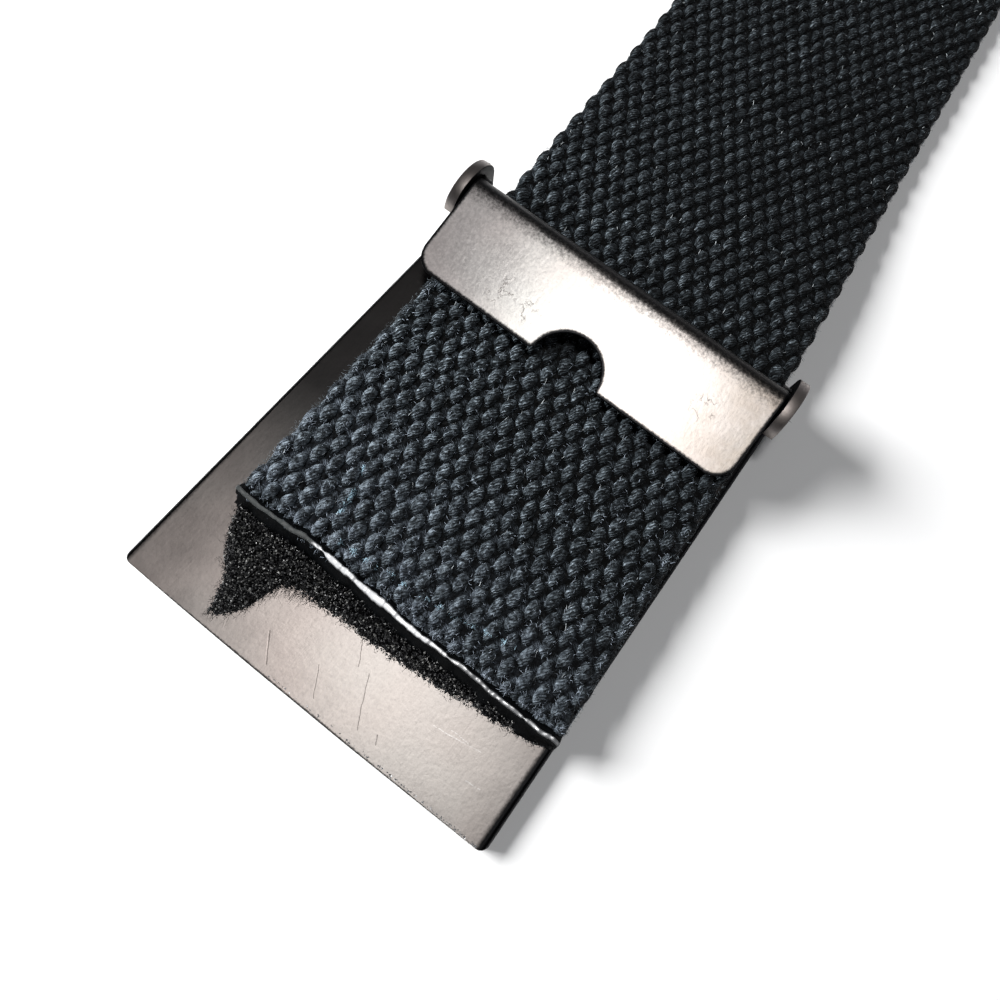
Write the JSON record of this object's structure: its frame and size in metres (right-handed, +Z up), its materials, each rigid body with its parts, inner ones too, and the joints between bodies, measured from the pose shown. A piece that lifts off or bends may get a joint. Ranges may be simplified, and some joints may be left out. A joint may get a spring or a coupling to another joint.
{
  "type": "canvas web belt",
  "caption": "Woven web belt strap with a heat-sealed end on a steel plate buckle, clamped by a hinged lever with a thumb notch.",
  "frame": {"origin": "middle of the buckle plate's front face, which lies on the surface", "axes": "+X along the belt from the plate's bare edge to the strap, +Y across the belt, +Z up out of the plate's back"},
  "size_m": [0.1412, 0.0448, 0.0072],
  "materials": {
    "plate_steel": "brushed, lightly scratched",
    "lever_steel": "satin, scuffed",
    "webbing": "heavy plain weave"
  },
  "bodies": {
    "belt": {"buckle_plate": "plate_steel", "web_strap": "webbing"},
    "lever": {"clamp_lever": "lever_steel"}
  },
  "joints": [
    {"name": "lever_hinge", "type": "hinge", "parent": "belt", "child": "lever", "pos_m": [0.0252, 0, 0.005], "axis": [0, 1, 0], "range_deg": [0, 160]}
  ]
}
